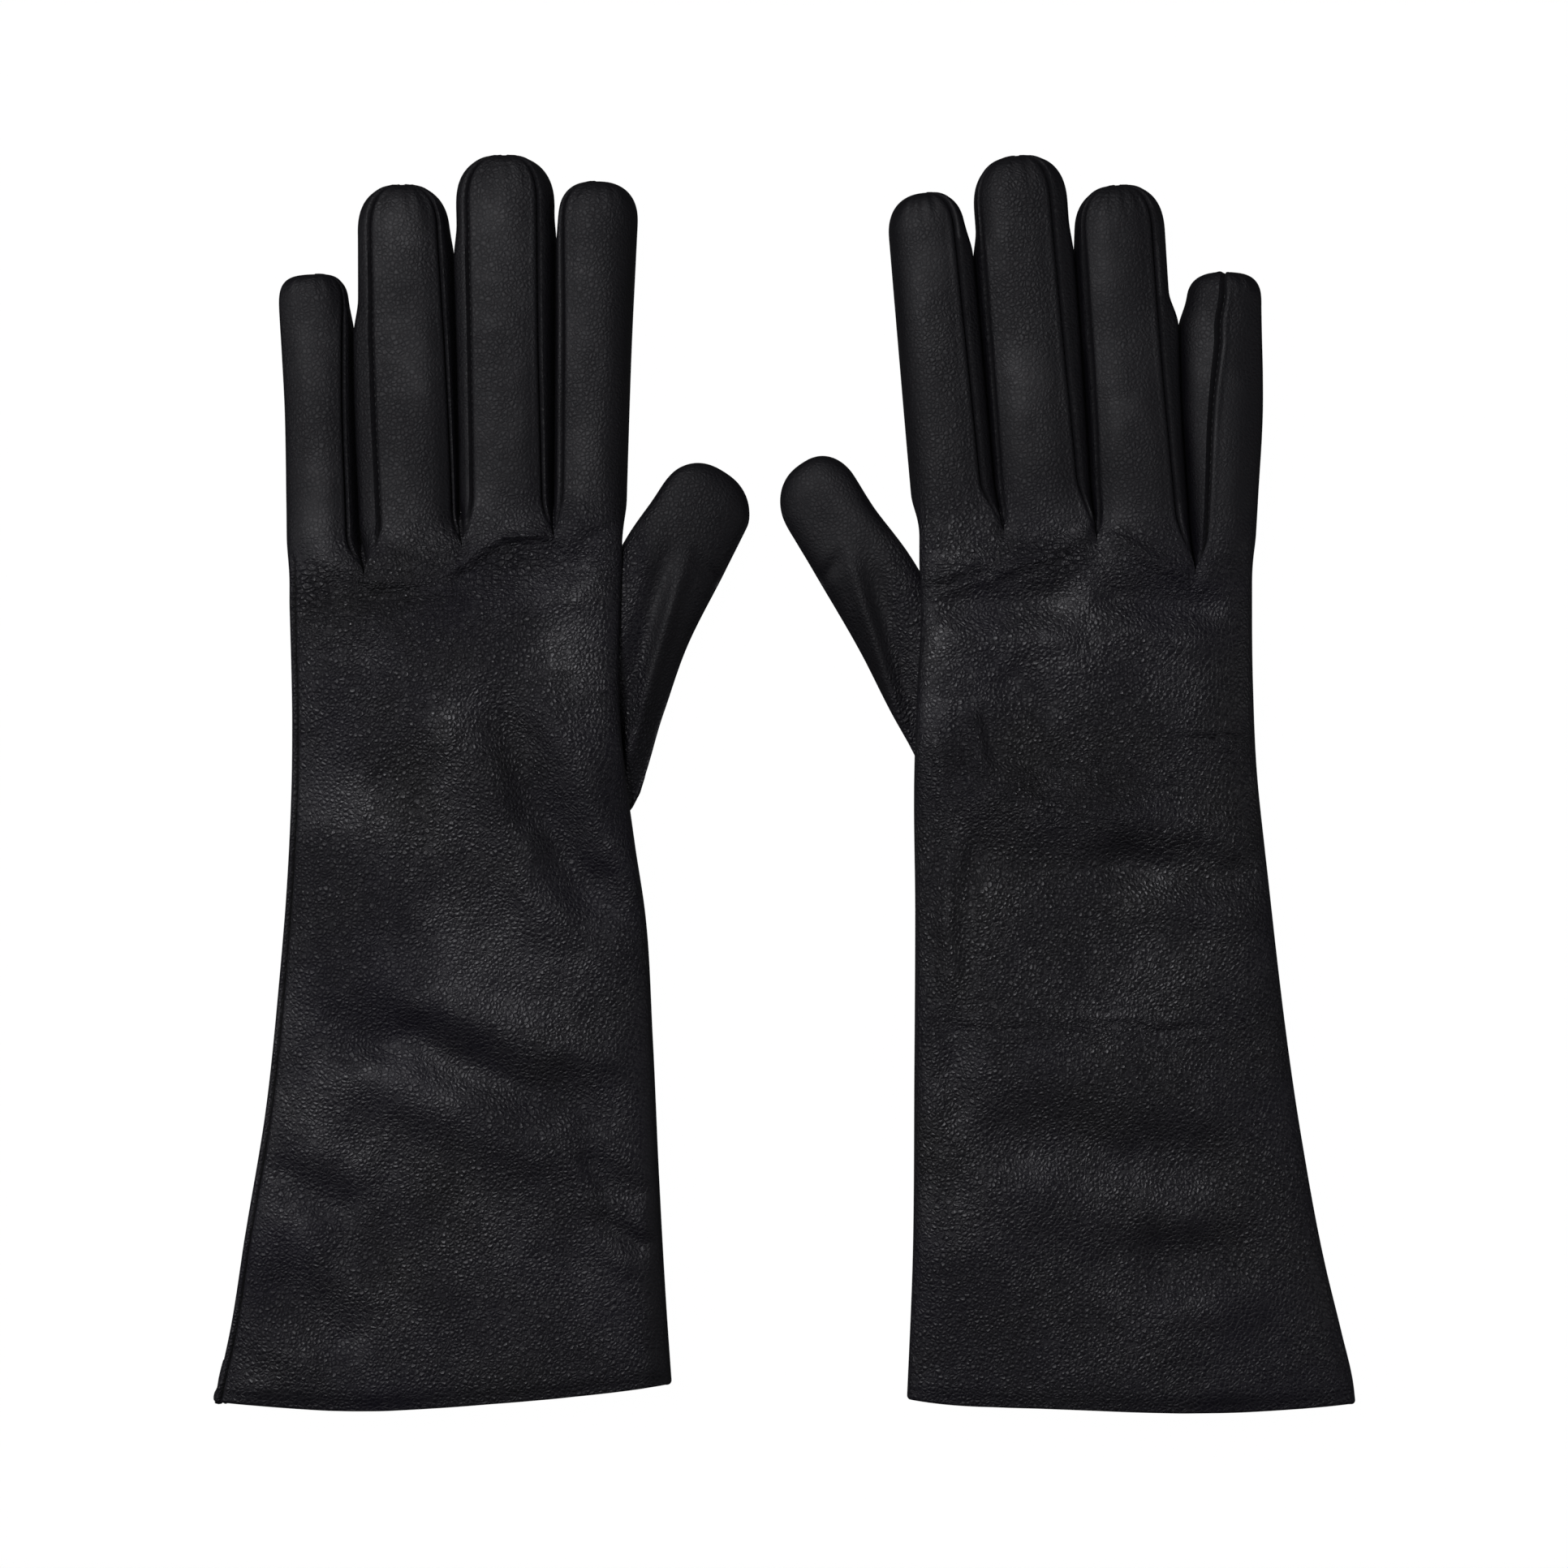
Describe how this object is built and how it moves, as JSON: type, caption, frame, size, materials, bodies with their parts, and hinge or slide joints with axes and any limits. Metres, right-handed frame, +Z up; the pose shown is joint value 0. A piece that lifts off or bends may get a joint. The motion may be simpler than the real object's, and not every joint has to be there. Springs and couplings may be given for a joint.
{
  "type": "pair of dress gloves",
  "caption": "Pair of lined leather dress gloves, mid-forearm length, lying flat with their backs up; fingers, thumbs and wrists bend.",
  "frame": {"origin": "under the middle of the pair's box, on the surface that the palms lie on", "axes": "+X from the left glove to the right glove, +Y to the fingertips, +Z up through the backs of the hands"},
  "size_m": [0.2748, 0.3006, 0.0171],
  "materials": {
    "leather": "satin black sheepskin with a fine pebble grain",
    "lining": "black knitted silk, matt with a soft sheen",
    "thread": "fine black glazed sewing thread"
  },
  "bodies": {
    "left_cuff": {"left_cuff": "leather", "left_cuff_hem": "leather", "left_cuff_lining": "lining", "left_cuff_seam": "thread"},
    "left_hand": {"left_hand": "leather", "left_hand_lining": "lining", "left_hand_seam": "thread", "left_index_middle_quirk": "leather", "left_middle_ring_quirk": "leather", "left_ring_little_quirk": "leather"},
    "left_thumb": {"left_thumb": "leather", "left_thumb_lining": "lining"},
    "left_index": {"left_index_fourchette_outer_side": "leather", "left_index_finger": "leather", "left_index_lining": "lining"},
    "left_middle": {"left_middle_fourchette_thumb_side": "leather", "left_middle_fourchette_outer_side": "leather", "left_middle_finger": "leather", "left_middle_lining": "lining"},
    "left_ring": {"left_ring_fourchette_thumb_side": "leather", "left_ring_fourchette_outer_side": "leather", "left_ring_finger": "leather", "left_ring_lining": "lining"},
    "left_little": {"left_little_fourchette_thumb_side": "leather", "left_little_finger": "leather", "left_little_lining": "lining"},
    "right_cuff": {"right_cuff": "leather", "right_cuff_hem": "leather", "right_cuff_lining": "lining", "right_cuff_seam": "thread"},
    "right_hand": {"right_hand": "leather", "right_hand_lining": "lining", "right_hand_seam": "thread", "right_index_middle_quirk": "leather", "right_middle_ring_quirk": "leather", "right_ring_little_quirk": "leather"},
    "right_thumb": {"right_thumb": "leather", "right_thumb_lining": "lining"},
    "right_index": {"right_index_fourchette_outer_side": "leather", "right_index_finger": "leather", "right_index_lining": "lining"},
    "right_middle": {"right_middle_fourchette_thumb_side": "leather", "right_middle_fourchette_outer_side": "leather", "right_middle_finger": "leather", "right_middle_lining": "lining"},
    "right_ring": {"right_ring_fourchette_thumb_side": "leather", "right_ring_fourchette_outer_side": "leather", "right_ring_finger": "leather", "right_ring_lining": "lining"},
    "right_little": {"right_little_fourchette_thumb_side": "leather", "right_little_finger": "leather", "right_little_lining": "lining"}
  },
  "joints": [
    {"name": "left_wrist_bend", "type": "hinge", "parent": "left_cuff", "child": "left_hand", "pos_m": [-0.07869, -0.01528, 0.008], "axis": [-1, 0, 0], "range_deg": [-40, 40]},
    {"name": "left_index_bend", "type": "hinge", "parent": "left_hand", "child": "left_index", "pos_m": [-0.04659, 0.05872, 0.0075], "axis": [-0.9997, 0.0244, 0], "range_deg": [-30, 75]},
    {"name": "left_middle_bend", "type": "hinge", "parent": "left_hand", "child": "left_middle", "pos_m": [-0.06714, 0.05752, 0.0075], "axis": [-1, -0.007, 0], "range_deg": [-30, 75]},
    {"name": "left_ring_bend", "type": "hinge", "parent": "left_hand", "child": "left_ring", "pos_m": [-0.08999, 0.05332, 0.0075], "axis": [-0.9997, -0.0262, 0], "range_deg": [-30, 75]},
    {"name": "left_little_bend", "type": "hinge", "parent": "left_hand", "child": "left_little", "pos_m": [-0.11019, 0.04952, 0.0075], "axis": [-0.9993, -0.0384, 0], "range_deg": [-30, 75]},
    {"name": "left_thumb_bend", "type": "hinge", "parent": "left_hand", "child": "left_thumb", "pos_m": [-0.04914, -0.00225, 0.006], "axis": [-0.9375, 0.3479, 0], "range_deg": [0, 50]},
    {"name": "right_wrist_bend", "type": "hinge", "parent": "right_cuff", "child": "right_hand", "pos_m": [0.07149, -0.01528, 0.008], "axis": [-1, 0, 0], "range_deg": [-40, 40]},
    {"name": "right_index_bend", "type": "hinge", "parent": "right_hand", "child": "right_index", "pos_m": [0.04159, 0.05872, 0.0075], "axis": [-0.9956, -0.0941, 0], "range_deg": [-30, 75]},
    {"name": "right_middle_bend", "type": "hinge", "parent": "right_hand", "child": "right_middle", "pos_m": [0.06214, 0.05872, 0.0075], "axis": [-0.9972, -0.075, 0], "range_deg": [-30, 75]},
    {"name": "right_ring_bend", "type": "hinge", "parent": "right_hand", "child": "right_ring", "pos_m": [0.08499, 0.05392, 0.0075], "axis": [-0.9978, -0.0663, 0], "range_deg": [-30, 75]},
    {"name": "right_little_bend", "type": "hinge", "parent": "right_hand", "child": "right_little", "pos_m": [0.10519, 0.04952, 0.0075], "axis": [-1, 0.0087, 0], "range_deg": [-30, 75]},
    {"name": "right_thumb_bend", "type": "hinge", "parent": "right_hand", "child": "right_thumb", "pos_m": [0.04199, -0.00228, 0.006], "axis": [-0.9335, -0.3587, 0], "range_deg": [0, 50]},
    {"name": "right_glove_slide", "type": "slide", "parent": "left_cuff", "child": "right_cuff", "axis": [1, 0, 0], "range_m": [0, 0.05]}
  ]
}
